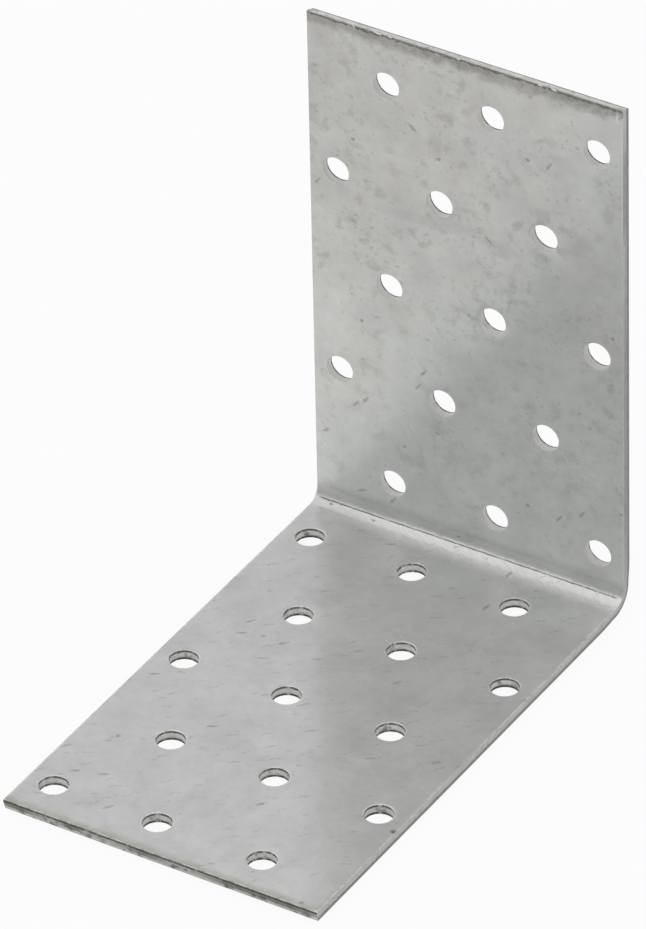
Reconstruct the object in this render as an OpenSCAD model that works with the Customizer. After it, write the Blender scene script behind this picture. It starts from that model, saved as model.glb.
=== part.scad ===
// Perforated angle bracket: one sheet of galvanised steel, punched flat and folded once.
// The base leg lies on the ground plane and the upright leg rises at its back.
// X runs along the fold, Y from the free end of the base to the back, Z up.

/* [Sheet] */
// Width of the sheet, along the fold
sheet_width = 60; // [50:1:120]
// Thickness of the sheet
sheet = 2; // [1.5:0.1:3]
// Length of the base leg, from the back face to its free end
base_leg = 100; // [60:1:160]
// Height of the upright leg, from the underside to its free end
upright_leg = 100; // [60:1:160]

/* [Fold] */
// Radius on the inside of the fold
fold_radius = 2.5; // [1.5:0.1:5]
// Radius of the groove that the tip of the folding tool pressed along the inside
crease_radius = 0.15; // [0.1:0.01:0.4]

/* [Nail holes] */
// Diameter of a nail hole, on its smooth wall
hole_d = 5; // [4:0.1:6.5]
// Spacing of the holes along a row, across the sheet
column_pitch = 20; // [14:0.5:26]
// Spacing of the rows along a leg
row_pitch = 20; // [14:0.5:26]
// Distance from the fold to the first row of the base
base_row_start = 8; // [4:0.1:12]
// Distance from the fold to the first row of the upright
upright_row_start = 5.5; // [4:0.1:12]
// Least distance from the last row to the free end of a leg
end_margin = 7.5; // [5:0.1:12]
// Least distance from a hole's centre to a side of the sheet
side_margin = 5; // [4:0.1:9]

/* [Cut edges] */
// Rounding where the shear or the punch entered the inner face
edge_roll = 0.35; // [0.2:0.05:0.6]
// Height of the broken band of a cut edge, above the outer face
break_height = 0.7; // [0.4:0.05:1]
// How far the broken band falls back at the outer face
break_lean = 0.1; // [0.05:0.01:0.2]

/* [Hidden] */
galvanised = [0.66, 0.67, 0.67];
// Odd rows are shifted by half a pitch against even ones, and the rows count on across the fold
stagger = column_pitch / 2;
outer_radius = fold_radius + sheet;
back_y = base_leg / 2;
pattern_room = sheet_width - 2 * side_margin - stagger;
columns = floor(pattern_room / column_pitch) + 1;
first_column = -((columns - 1) * column_pitch + stagger) / 2;
// How far a cutting shape runs past the surface it cuts
spill = 1;
$fn = 48;

// Number of rows that fit on a leg, from the fold to the last row's margin
function row_count(leg, row_start) =
    floor((leg - outer_radius - row_start - end_margin) / row_pitch) + 1;

// What a cut takes away beside a nominal edge at x = 0, with the metal on the left,
// the outer face at y = 0 and the inner face at y = sheet
module cut_profile() {
    difference() {
        translate([-edge_roll, -spill]) square([edge_roll + spill, sheet + 2 * spill]);
        polygon([
            [-edge_roll - spill, 0], [-break_lean, 0], [0, break_height], [0, sheet - edge_roll],
            [-edge_roll, sheet - edge_roll], [-edge_roll, sheet], [-edge_roll - spill, sheet]
        ]);
        translate([-edge_roll, sheet - edge_roll]) circle(r = edge_roll);
    }
}

// Section across the strip: outer face at y = 0, inner face at y = sheet
module strip_section() {
    difference() {
        translate([-sheet_width / 2, 0]) square([sheet_width, sheet]);
        translate([sheet_width / 2, 0]) cut_profile();
        mirror([1, 0]) translate([sheet_width / 2, 0]) cut_profile();
    }
}

// One punched hole through a flat leg, from its outer face up
module nail_hole() {
    rotate_extrude() {
        translate([0, -spill]) square([hole_d / 2, sheet + 2 * spill]);
        translate([hole_d / 2, 0]) mirror([1, 0]) cut_profile();
    }
}

// Staggered rows of holes. A row whose index is shift_on, counted in twos, is shifted
module nail_holes(leg, row_start, shift_on) {
    for (row = [0 : row_count(leg, row_start) - 1])
        for (column = [0 : columns - 1]) {
            shift = row % 2 == shift_on ? stagger : 0;
            x = first_column + shift + column * column_pitch;
            translate([x, outer_radius + row_start + row * row_pitch, 0]) nail_hole();
        }
}

// One flat leg on its outer face, with Y as the distance from the other leg's outer face
module flat_leg(leg, row_start, shift_on) {
    difference() {
        translate([0, leg, 0]) rotate([90, 0, 0]) linear_extrude(leg - outer_radius) strip_section();
        translate([0, leg, 0]) rotate([90, 0, 90])
            linear_extrude(sheet_width + 2 * spill, center = true) cut_profile();
        nail_holes(leg, row_start, shift_on);
    }
}

// Quarter turn that joins the legs, with the tool's crease along the middle of its inside
module fold() {
    translate([0, back_y - outer_radius, outer_radius]) rotate([90, 0, 90]) rotate([0, 0, -90])
        difference() {
            rotate_extrude(angle = 90) translate([outer_radius, 0]) rotate(90) strip_section();
            rotate([0, 0, 45]) translate([fold_radius, 0, 0])
                cylinder(r = crease_radius, h = sheet_width + 2 * spill, center = true);
        }
}

module bracket() {
    color(galvanised) {
        translate([0, back_y, 0]) mirror([0, 1, 0]) flat_leg(base_leg, base_row_start, 1);
        translate([0, back_y, 0]) rotate([90, 0, 0]) flat_leg(upright_leg, upright_row_start, 0);
        fold();
    }
}

bracket();
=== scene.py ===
"""Looks of a perforated angle bracket: one galvanised strip, punched flat and folded once.

The sheet's sizes are in millimetres here and turn into metres when its mesh is made. The strip
is drawn flat first: x across it, s along it from the free end of the base, and d up from its
outer face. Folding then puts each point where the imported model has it.
"""

import logging
import math
from dataclasses import dataclass, field, fields
from enum import Enum
from functools import cached_property
from typing import ClassVar

import bmesh
import bpy
import numpy as np
from mathutils import Matrix, Vector, noise

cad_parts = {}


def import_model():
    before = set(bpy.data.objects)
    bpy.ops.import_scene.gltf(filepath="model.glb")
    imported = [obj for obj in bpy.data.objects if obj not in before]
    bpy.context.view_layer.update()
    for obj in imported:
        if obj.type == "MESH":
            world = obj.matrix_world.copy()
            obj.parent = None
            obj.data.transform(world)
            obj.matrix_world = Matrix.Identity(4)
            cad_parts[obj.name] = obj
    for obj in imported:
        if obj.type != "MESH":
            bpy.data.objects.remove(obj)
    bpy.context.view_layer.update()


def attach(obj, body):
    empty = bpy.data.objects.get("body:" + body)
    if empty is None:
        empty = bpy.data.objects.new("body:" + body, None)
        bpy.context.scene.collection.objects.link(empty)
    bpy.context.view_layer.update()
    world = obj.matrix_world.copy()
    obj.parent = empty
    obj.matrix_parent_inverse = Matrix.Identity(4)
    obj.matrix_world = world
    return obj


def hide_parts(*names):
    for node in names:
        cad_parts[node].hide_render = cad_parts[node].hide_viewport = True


MILLIMETRE = 0.001
NODE = "bracket"
BODY = "root"
LOG = logging.getLogger("bracket")
# Two places on the strip that are closer than this are one place
NEAR = 1e-6
# Where the two legs' looks part, near the middle of the fold
LEG_BORDER = 99.0

Colour = tuple[float, float, float, float]


class Finish(Enum):
    """What a stretch of the surface is finished as. The value is its place in the mesh's slots."""

    ZINC = 0
    FRONT_END = 1
    TOP_END = 2
    SLIT_SIDE = 3
    BASE_WALL = 4
    UPRIGHT_WALL = 5


@dataclass(frozen=True)
class StripPlan:
    """The strip as it is punched and folded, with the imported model's own values, in millimetres."""

    width: float = 60.0
    thickness: float = 2.0
    base_leg: float = 100.0
    upright_leg: float = 100.0
    fold_radius: float = 2.5
    hole_radius: float = 2.5
    column_pitch: float = 20.0
    row_pitch: float = 20.0
    base_row_start: float = 8.0
    upright_row_start: float = 5.5
    rows: int = 5
    columns: int = 3

    @property
    def outer_radius(self) -> float:
        """Radius on the outside of the fold."""
        return self.fold_radius + self.thickness

    @property
    def fold_start(self) -> float:
        """Place along the strip where the base leg ends and the fold begins."""
        return self.base_leg - self.outer_radius

    @property
    def fold_length(self) -> float:
        """Length of the fold along the middle of the sheet."""
        return math.pi / 2 * (self.fold_radius + self.thickness / 2)

    @property
    def fold_end(self) -> float:
        """Place along the strip where the fold ends and the upright leg begins."""
        return self.fold_start + self.fold_length

    @property
    def length(self) -> float:
        """Length of the flat strip."""
        return self.fold_end + self.upright_leg - self.outer_radius

    @property
    def half_width(self) -> float:
        """Distance from the middle of the strip to a side."""
        return self.width / 2

    def holes(self) -> list[tuple[float, float]]:
        """Finds the centres of the nail holes on the flat strip.

        Returns:
            Centres as (x, s), row by row, with odd rows shifted by half a pitch against even ones.
        """
        stagger = self.column_pitch / 2
        first = -((self.columns - 1) * self.column_pitch + stagger) / 2
        centres = []
        for row in range(self.rows):
            base_shift = stagger if row % 2 else 0.0
            upright_shift = stagger - base_shift
            base_s = self.fold_start - self.base_row_start - row * self.row_pitch
            upright_s = self.fold_end + self.upright_row_start + row * self.row_pitch
            for column in range(self.columns):
                x = first + column * self.column_pitch
                centres.append((x + base_shift, base_s))
                centres.append((x + upright_shift, upright_s))
        return centres

    def turn(self, s: np.ndarray) -> np.ndarray:
        """Gives how far the strip has turned at places along it, from 0 to 1."""
        return np.clip((s - self.fold_start) / self.fold_length, 0, 1)

    def fold(self, flat: np.ndarray) -> np.ndarray:
        """Folds points of the flat strip into their places in the bracket.

        Args:
            flat: One point a row as (x, s, d), in millimetres.

        Returns:
            The points in the row frame, in millimetres.
        """
        x, s, d = flat.T
        turn = self.turn(s) * math.pi / 2
        radius = self.outer_radius - d
        back = self.base_leg / 2
        on_base = s < self.fold_start
        on_upright = s > self.fold_end
        y = back - self.outer_radius + radius * np.sin(turn)
        z = self.outer_radius - radius * np.cos(turn)
        y = np.where(on_base, s - back, np.where(on_upright, back - d, y))
        z = np.where(on_base, d, np.where(on_upright, self.outer_radius + s - self.fold_end, z))
        return np.stack([x, y, z], axis=1)


@dataclass(frozen=True)
class CutStep:
    """One line along a cut edge.

    It lies inset from the nominal edge, with its share of the lean on top, and as uneven as rag.
    """

    inset: float
    depth: float
    fallen: float = 0.0
    rag: float = 0.0


@dataclass(frozen=True)
class CutProfile:
    """Section of a cut edge, from the inner face down to the outer face, in millimetres."""

    roll: float
    break_height: float
    roughness: float
    roll_turns: int = 4
    break_turns: int = 3
    thickness: float = 2.0
    smooth_lines: tuple[tuple[float, float], ...] = ((0.66, 0.2), (0.33, 0.3), (0.0, 0.5))

    def steps(self) -> list[CutStep]:
        """Lists the lines of the section between the two faces' own borders.

        Returns:
            The rolled shoulder, the smooth band and the broken band, without the two borders.
        """
        lines = []
        for turn in range(1, self.roll_turns + 1):
            angle = math.pi / 2 * turn / self.roll_turns
            inset = self.roll * (1 - math.sin(angle))
            lines.append(CutStep(inset, self.thickness - self.roll * (1 - math.cos(angle))))
        smooth = self.thickness - self.roll - self.break_height
        for share, rag in self.smooth_lines:
            depth = self.break_height + smooth * share
            lines.append(CutStep(0.0, depth, 0.0, self.roughness * rag))
        for turn in range(1, self.break_turns):
            share = turn / self.break_turns
            depth = self.break_height * (1 - share)
            lines.append(CutStep(0.0, depth, share, self.roughness))
        return lines

    @property
    def bare_from(self) -> int:
        """Number of the first band that is bare cut steel and not zinc."""
        return self.roll_turns - 1


@dataclass(frozen=True)
class EdgeLeans:
    """How far a cut has fallen back at the outer face, on each edge, in millimetres."""

    sides: float = 0.06
    front: float = 0.40
    top: float = 0.62

    def insets(self, step: CutStep, unevenness: float) -> tuple[float, float, float]:
        """Gives a line's distance from the nominal sides, front end and top end.

        Args:
            step: The line.
            unevenness: From 0 to 1, how far the rag goes here.

        Returns:
            The three distances.
        """
        plain = step.inset + step.rag * unevenness
        return tuple(plain + step.fallen * lean for lean in (self.sides, self.front, self.top))


@dataclass(frozen=True)
class PunchedHole:
    """Section of a nail hole's wall, and how much wider it is at the outer face."""

    cut: CutProfile
    lean: float


@dataclass(frozen=True)
class Flank:
    """A flat that the folding tool pressed beside the crease, in degrees from the base."""

    low: float
    high: float
    share: float

    def stand_off(self, turn: np.ndarray, radius: float) -> np.ndarray:
        """Gives how far the flat stands off the plain arc.

        Args:
            turn: Turn along the fold, in degrees from the base.
            radius: Radius of the plain arc.

        Returns:
            The distance towards the arc's centre, 0 beyond the flat.
        """
        half = math.radians(self.high - self.low) / 2
        middle = (self.low + self.high) / 2
        chord = radius * (1 - math.cos(half) / np.cos(np.radians(turn - middle)))
        inside = (turn >= self.low) & (turn <= self.high)
        return np.where(inside, chord * self.share, 0.0)


@dataclass(frozen=True)
class FoldShape:
    """How the folding tool left the inside of the fold, in millimetres and degrees."""

    crease_turn: float = 45.0
    crease_depth: float = 0.13
    crease_half_turn: float = 1.7
    crease_pitch: float = 1.7
    mean_press: float = 0.8
    press_swing: float = 0.9
    flanks: tuple[Flank, ...] = (Flank(8.0, 45.0, 0.45), Flank(53.0, 90.0, 0.80))
    # The tool leaves the arc plain next to each side, and presses fully after a fade
    plain_side: float = 0.4
    side_fade: float = 1.2
    # The sides draw in by this at the outer face, within these reaches from side and fold
    side_pull: float = 0.2
    side_reach: float = 4.0
    pull_reach: float = 2.5
    turns: tuple[float, ...] = (
        0, 4, 8, 11, 14, 18, 22, 26, 30, 34, 37, 40, 42, 43.2, 44, 44.5, 45, 45.5, 46, 46.8,
        48, 50, 53, 56, 60, 64, 68, 72, 76, 80, 84, 87, 90,
    )

    def depth_along(self, x: np.ndarray) -> np.ndarray:
        """Gives the crease's depth along the fold, which the tool pressed unevenly."""
        lines, place = np.unique(x, return_inverse=True)
        pitch = self.crease_pitch
        swing = [noise.noise(Vector((line / pitch, 0.0, 7.0))) for line in lines]
        return self.crease_depth * (self.mean_press + self.press_swing * np.array(swing)[place])

    def stand_off(self, turn: np.ndarray, x: np.ndarray, radius: float) -> np.ndarray:
        """Gives how far the inside stands off its plain arc, towards the arc's centre.

        Args:
            turn: Turn along the fold, in degrees from the base.
            x: Places across the strip.
            radius: Radius of the plain arc.

        Returns:
            The flats that the tool pressed on both sides of the crease, less the crease.
        """
        off = sum(flank.stand_off(turn, radius) for flank in self.flanks)
        groove = np.exp(-(((turn - self.crease_turn) / self.crease_half_turn) ** 2))
        return off - self.depth_along(x) * groove


@dataclass(frozen=True)
class SheetForm:
    """The small unevenness of a real sheet, in millimetres."""

    wave_height: float = 0.045
    wave_lengths: tuple[float, ...] = (62.0, 47.0, 35.0, 28.0, 21.0)
    wave_shares: tuple[float, ...] = (0.34, 0.26, 0.18, 0.13, 0.09)
    calm_reach: float = 4.0
    dish_depth: float = 0.045
    dish_reach: float = 0.4
    rag_pitch: float = 1.1
    rag_layers: float = 3.0
    rag_middle: float = 0.5
    rag_swing: float = 0.8
    seed: int = 41

    def waves(self, x: np.ndarray, s: np.ndarray) -> np.ndarray:
        """Gives the slow rise and fall of the sheet, from -1 to 1.

        Args:
            x: Places across the strip.
            s: Places along the strip.

        Returns:
            A sum of a few long waves in seeded directions.
        """
        draw = np.random.default_rng(self.seed)
        total = np.zeros_like(x)
        for length, share in zip(self.wave_lengths, self.wave_shares):
            bearing = draw.uniform(0, math.tau)
            start = draw.uniform(0, math.tau)
            way = x * math.cos(bearing) + s * math.sin(bearing)
            total += share * np.sin(math.tau * way / length + start)
        return total

    def rag(self, x: float, s: float, d: float) -> float:
        """Gives the unevenness of a cut edge at a place, from 0 to 1."""
        pitch = self.rag_pitch
        value = noise.noise(Vector((x / pitch, s / pitch, d * self.rag_layers)))
        return min(max(self.rag_middle + self.rag_swing * value, 0.0), 1.0)


@dataclass
class StripSkin:
    """Collects the points and quads of the flat strip."""

    points: list[tuple[float, float, float]] = field(default_factory=list)
    quads: list[tuple[int, int, int, int]] = field(default_factory=list)
    finishes: list[int] = field(default_factory=list)

    def point(self, x: float, s: float, d: float) -> int:
        """Adds a point of the flat strip and returns its number."""
        self.points.append((x, s, d))
        return len(self.points) - 1

    def quad(self, corners: tuple[int, int, int, int], finish: Finish) -> None:
        """Adds one quad with its finish."""
        self.quads.append(corners)
        self.finishes.append(finish.value)

    def band(self, upper: list[int], lower: list[int], finishes: list[Finish]) -> None:
        """Joins two closed loops of equally many points with a band of quads.

        Args:
            upper: The loop nearer the inner face, in order.
            lower: The other loop, in the same order.
            finishes: One finish for each stretch between two neighbours of a loop.
        """
        count = len(upper)
        for here in range(count):
            there = (here + 1) % count
            corners = (upper[here], lower[here], lower[there], upper[there])
            self.quad(corners, finishes[here])


@dataclass
class Strip:
    """The folded and punched strip as one closed mesh."""

    plan: StripPlan = StripPlan()
    sheared: CutProfile = CutProfile(roll=0.06, break_height=1.5, roughness=0.05)
    leans: EdgeLeans = EdgeLeans()
    base_hole: PunchedHole = PunchedHole(CutProfile(0.16, 0.7, 0.04), 0.03)
    upright_hole: PunchedHole = PunchedHole(CutProfile(0.06, 1.3, 0.04), 0.30)
    fold_shape: FoldShape = FoldShape()
    form: SheetForm = SheetForm()
    skin: StripSkin = field(default_factory=StripSkin)
    patch: float = 10.0
    patch_cells: int = 12
    ring_shares: tuple[float, ...] = (0.65, 0.38, 0.19, 0.09, 0.035, 0.0)
    sharp_turn: float = 38.0
    far_gap: float = 60.0

    @cached_property
    def xs(self) -> list[float]:
        """The grid's lines across the strip, which give each hole a square patch."""
        cells = round(self.plan.width / self.patch) * self.patch_cells
        step = self.patch / self.patch_cells
        return [step * k - self.plan.half_width for k in range(cells + 1)]

    @cached_property
    def ss(self) -> list[float]:
        """The grid's lines along the strip: a patch round each row, fine lines in the fold."""
        plan = self.plan
        step = self.patch / self.patch_cells
        half = self.patch / 2
        rows = sorted({round(s, 6) for _, s in plan.holes()})
        stops = sorted({0.0, plan.length, plan.fold_start, plan.fold_end}
                       | {r - half for r in rows} | {r + half for r in rows})
        lines = [0.0]
        for low, high in zip(stops, stops[1:]):
            if abs(low - plan.fold_start) < NEAR:
                cells = [turn / 90 for turn in self.fold_shape.turns[1:]]
            else:
                count = max(1, math.ceil((high - low) / step - NEAR))
                cells = [(k + 1) / count for k in range(count)]
            lines.extend(low + (high - low) * cell for cell in cells)
        return lines

    @cached_property
    def walk(self) -> list[tuple[int, int]]:
        """The grid's border as (column, row), once round."""
        last_x = len(self.xs) - 1
        last_s = len(self.ss) - 1
        walk = [(i, 0) for i in range(last_x)]
        walk += [(last_x, j) for j in range(last_s)]
        walk += [(i, last_s) for i in range(last_x, 0, -1)]
        walk += [(0, j) for j in range(last_s, 0, -1)]
        return walk

    @cached_property
    def corners(self) -> list[tuple[int, int]]:
        """The column and row at which each hole's square patch starts."""
        half = self.patch / 2
        found = []
        for x, s in self.plan.holes():
            i = int(np.argmin([abs(line - x + half) for line in self.xs]))
            j = int(np.argmin([abs(line - s + half) for line in self.ss]))
            found.append((i, j))
        return found

    @cached_property
    def ways(self) -> list[tuple[float, float]]:
        """The directions round a hole, one for each point of its patch's border."""
        count = 4 * self.patch_cells
        angles = [math.tau * k / count for k in range(count)]
        return [(math.cos(angle), math.sin(angle)) for angle in angles]

    def spot(self, i: int, j: int, insets: tuple[float, float, float]) -> tuple[float, float]:
        """Gives the place of a grid point whose border is drawn in from the nominal outline.

        Args:
            i: Column of the point.
            j: Row of the point.
            insets: How far the border lies inside the nominal sides, front end and top end.

        Returns:
            The place as (x, s).
        """
        side, front, top = insets
        x = min(max(self.xs[i], self.xs[0] + side), self.xs[-1] - side)
        s = min(max(self.ss[j], self.ss[0] + front), self.ss[-1] - top)
        return x, s

    def hole_at(self, s: float) -> PunchedHole:
        """Gives the section of the holes of the leg that a place along the strip is on."""
        return self.base_hole if s < self.plan.fold_start else self.upright_hole

    def lay_face(self, inner: bool) -> tuple[list[int], list[list[int]]]:
        """Lays one broad face: a grid of quads with rings of quads round each hole.

        Args:
            inner: Whether it is the inner face.

        Returns:
            The border's points and each hole's rim, as loops.
        """
        edge = CutStep(self.sheared.roll, depth=0.0) if inner else CutStep(0.0, 0.0, fallen=1.0)
        insets = self.leans.insets(edge, 0.0)
        depth = self.plan.thickness if inner else 0.0
        columns = len(self.xs)
        rows = len(self.ss)
        covered = np.zeros((columns - 1, rows - 1), bool)
        for i, j in self.corners:
            covered[i:i + self.patch_cells, j:j + self.patch_cells] = True
        grid = np.full((columns, rows), -1)
        for i in range(columns):
            for j in range(rows):
                near = covered[max(i - 1, 0):i + 1, max(j - 1, 0):j + 1]
                border = i in (0, columns - 1) or j in (0, rows - 1)
                if border or not near.all():
                    grid[i, j] = self.skin.point(*self.spot(i, j, insets), depth)
        for i in range(columns - 1):
            for j in range(rows - 1):
                if not covered[i, j]:
                    cell = (grid[i, j], grid[i + 1, j], grid[i + 1, j + 1], grid[i, j + 1])
                    self.skin.quad(tuple(int(c) for c in cell), Finish.ZINC)
        rims = []
        for corner, centre in zip(self.corners, self.plan.holes()):
            hole = self.hole_at(centre[1])
            grow = hole.cut.roll if inner else hole.lean
            rims.append(self.ring_patch(self.patch_loop(grid, *corner), centre, grow, depth))
        return [int(grid[i, j]) for i, j in self.walk], rims

    def patch_loop(self, grid: np.ndarray, i: int, j: int) -> list[int]:
        """Walks round a hole's square patch from the middle of its right side, turning left."""
        n = self.patch_cells
        right = [grid[i + n, j + k] for k in range(n)]
        top = [grid[i + n - k, j + n] for k in range(n)]
        left = [grid[i, j + n - k] for k in range(n)]
        bottom = [grid[i + k, j] for k in range(n)]
        walk = [int(p) for p in right + top + left + bottom]
        return walk[n // 2:] + walk[:n // 2]

    def ring_patch(self, loop: list[int], centre: tuple[float, float], grow: float,
                   depth: float) -> list[int]:
        """Fills a square patch with rings that close in on the rim of its hole.

        Args:
            loop: The patch's border, from the middle of its right side.
            centre: Centre of the hole as (x, s).
            grow: How far the rim lies outside the nominal hole.
            depth: Height of the face above the outer one.

        Returns:
            The rim's points.
        """
        radius = self.plan.hole_radius + grow
        plain = [Finish.ZINC] * len(loop)
        outside = loop
        for share in self.ring_shares:
            ring = []
            for number, way in zip(loop, self.ways):
                border = self.skin.points[number]
                rim_x = centre[0] + radius * way[0]
                rim_s = centre[1] + radius * way[1]
                x = rim_x + (border[0] - rim_x) * share
                s = rim_s + (border[1] - rim_s) * share
                ring.append(self.skin.point(x, s, depth))
            self.skin.band(outside, ring, plain)
            outside = ring
        return outside

    def punch(self, inner: list[int], outer: list[int], centre: tuple[float, float]) -> None:
        """Builds the wall of a nail hole between the rims on the two faces.

        Args:
            inner: Rim on the inner face.
            outer: Rim on the outer face.
            centre: Centre of the hole as (x, s).
        """
        hole = self.hole_at(centre[1])
        wall = Finish.BASE_WALL if hole is self.base_hole else Finish.UPRIGHT_WALL
        reach = self.plan.hole_radius
        above = inner
        for number, step in enumerate(hole.cut.steps()):
            ring = []
            for way in self.ways:
                edge = (centre[0] + reach * way[0], centre[1] + reach * way[1])
                grow = step.inset + step.fallen * hole.lean
                grow += step.rag * self.form.rag(*edge, step.depth)
                x = edge[0] + grow * way[0]
                s = edge[1] + grow * way[1]
                ring.append(self.skin.point(x, s, step.depth))
            finish = wall if number >= hole.cut.bare_from else Finish.ZINC
            self.skin.band(above, ring, [finish] * len(ring))
            above = ring
        self.skin.band(above, outer, [wall] * len(outer))

    def trim(self, inner: list[int], outer: list[int]) -> None:
        """Builds the sheared ends and the slit sides between the borders of the two faces.

        Args:
            inner: Border of the inner face.
            outer: Border of the outer face.
        """
        cut = []
        for here, there in zip(self.walk, self.walk[1:] + self.walk[:1]):
            end = Finish.TOP_END if here[1] else Finish.FRONT_END
            cut.append(end if here[1] == there[1] else Finish.SLIT_SIDE)
        zinc = [Finish.ZINC] * len(cut)
        above = inner
        for number, step in enumerate(self.sheared.steps()):
            ring = []
            for i, j in self.walk:
                rag = self.form.rag(self.xs[i], self.ss[j], step.depth)
                insets = self.leans.insets(step, rag)
                ring.append(self.skin.point(*self.spot(i, j, insets), step.depth))
            self.skin.band(above, ring, cut if number >= self.sheared.bare_from else zinc)
            above = ring
        self.skin.band(above, outer, cut)

    def hole_reach(self, x: np.ndarray, s: np.ndarray) -> np.ndarray:
        """Measures the distance from each place to the nearest hole's centre."""
        return np.min([np.hypot(x - hole_x, s - hole_s) for hole_x, hole_s in self.plan.holes()],
                      axis=0)

    def shape(self, flat: np.ndarray) -> np.ndarray:
        """Gives flat points the unevenness of the real sheet, inside the nominal one.

        Args:
            flat: Nominal points as (x, s, d).

        Returns:
            The points with waves, dished rims, the pressed fold and its drawn-in sides.
        """
        plan = self.plan
        form = self.form
        fold = self.fold_shape
        x, s, d = flat.T
        share = d / plan.thickness
        on_fold = (s > plan.fold_start) & (s < plan.fold_end)
        fold_gap = np.maximum(np.maximum(plan.fold_start - s, s - plan.fold_end), 0)
        calm = 1 - np.exp(-fold_gap / form.calm_reach)
        outer = form.wave_height * (form.waves(x, s) * calm + 1) / 2
        inner = plan.thickness - form.wave_height + outer
        past = self.hole_reach(x, s) - plan.hole_radius - self.base_hole.cut.roll
        inner = inner - form.dish_depth * np.exp(-np.maximum(past, 0) / form.dish_reach)
        to_side = plan.half_width - np.abs(x)
        fade = np.clip((to_side - fold.plain_side) / fold.side_fade, 0, 1)
        pressed = fold.stand_off(plan.turn(s) * 90, x, plan.fold_radius)
        inner = inner + np.where(on_fold, pressed * fade, 0)
        depth = outer + (inner - outer) * share
        pull = fold.side_pull * (1 - share) * np.exp(-((fold_gap / fold.pull_reach) ** 2))
        pull = pull * np.clip(1 - to_side / fold.side_reach, 0, 1) ** 2
        return np.stack([x - np.sign(x) * pull, s, depth], axis=1)

    def gaps(self, flat: np.ndarray) -> dict[str, np.ndarray]:
        """Measures what the finishes read at each point, in millimetres.

        Args:
            flat: Nominal points as (x, s, d).

        Returns:
            The distance to the nearest cut edge, to the nearest free end, and along the inner
            face to the crease, below 0 towards the base.
        """
        plan = self.plan
        x, s, d = flat.T
        holes = self.hole_reach(x, s) - plan.hole_radius
        end = np.minimum(s, plan.length - s)
        middle = (plan.fold_start + plan.fold_end) / 2
        arc = plan.fold_radius / (plan.fold_radius + plan.thickness / 2)
        inside = np.clip(s - middle, -plan.fold_length / 2, plan.fold_length / 2)
        crease = inside * arc + (s - middle - inside)
        crease = np.where(d > plan.thickness / 2, crease, self.far_gap)
        rim = np.minimum(np.minimum(holes, plan.half_width - np.abs(x)), end)
        return {"rim_gap": rim, "end_gap": end, "crease_gap": crease}

    def build(self) -> bpy.types.Object:
        """Builds the whole strip.

        Returns:
            The bracket as one closed mesh, at its place in the row frame.
        """
        inner_border, inner_rims = self.lay_face(inner=True)
        outer_border, outer_rims = self.lay_face(inner=False)
        for inner_rim, outer_rim, centre in zip(inner_rims, outer_rims, self.plan.holes()):
            self.punch(inner_rim, outer_rim, centre)
        self.trim(inner_border, outer_border)
        flat = np.array(self.skin.points)
        folded = self.plan.fold(self.shape(flat)) * MILLIMETRE
        mesh = bpy.data.meshes.new("punched_strip")
        mesh.from_pydata([tuple(p) for p in folded], [], self.skin.quads)
        mesh.polygons.foreach_set("material_index", np.array(self.skin.finishes, np.int32))
        place = mesh.attributes.new("strip_place", "FLOAT_VECTOR", "POINT")
        place.data.foreach_set("vector", flat.astype(np.float32).ravel())
        for name, values in self.gaps(flat).items():
            gap = mesh.attributes.new(name, "FLOAT", "POINT")
            gap.data.foreach_set("value", values.astype(np.float32))
        piece = bpy.data.objects.new("punched_strip", mesh)
        bpy.context.scene.collection.objects.link(piece)
        self.tidy(mesh)
        return piece

    def tidy(self, mesh: bpy.types.Mesh) -> None:
        """Turns all faces outwards, and smooths what isn't a real corner."""
        held = bmesh.new()
        held.from_mesh(mesh)
        bmesh.ops.recalc_face_normals(held, faces=held.faces)
        held.to_mesh(mesh)
        held.free()
        mesh.shade_smooth()
        mesh.set_sharp_from_angle(angle=math.radians(self.sharp_turn))
        mesh.update()


class Value:
    """An output on a board. The usual signs add Math nodes to it."""

    def __init__(self, board: "Board", socket: bpy.types.NodeSocket) -> None:
        """Holds an output of a board's tree."""
        self.board = board
        self.socket = socket

    def __add__(self, other: object) -> "Value":
        """Adds another value or a number."""
        return self.board.math("ADD", self, other)

    def __sub__(self, other: object) -> "Value":
        """Takes another value or a number away."""
        return self.board.math("SUBTRACT", self, other)

    def __rsub__(self, number: float) -> "Value":
        """Takes this value away from a number."""
        return self.board.math("SUBTRACT", number, self)

    def __mul__(self, other: object) -> "Value":
        """Multiplies by another value or a number."""
        return self.board.math("MULTIPLY", self, other)

    def __rtruediv__(self, number: float) -> "Value":
        """Divides a number by this value."""
        return self.board.math("DIVIDE", number, self)

    def __truediv__(self, other: "Value") -> "Value":
        """Divides by another value."""
        return self.board.math("DIVIDE", self, other)

    def __gt__(self, other: float) -> "Value":
        """Is 1 where it is greater than a number, and 0 elsewhere."""
        return self.board.math("GREATER_THAN", self, other)

    def __lt__(self, other: float) -> "Value":
        """Is 1 where it is less than a number, and 0 elsewhere."""
        return self.board.math("LESS_THAN", self, other)

    def __abs__(self) -> "Value":
        """Drops the sign."""
        return self.board.math("ABSOLUTE", self)

    def or_more(self, other: object) -> "Value":
        """Gives the greater of this and another value or a number."""
        return self.board.math("MAXIMUM", self, other)

    def swing(self, half: float) -> "Value":
        """Turns a value from 0 to 1 into one from -half to half."""
        return self * (2.0 * half) - half


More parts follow.
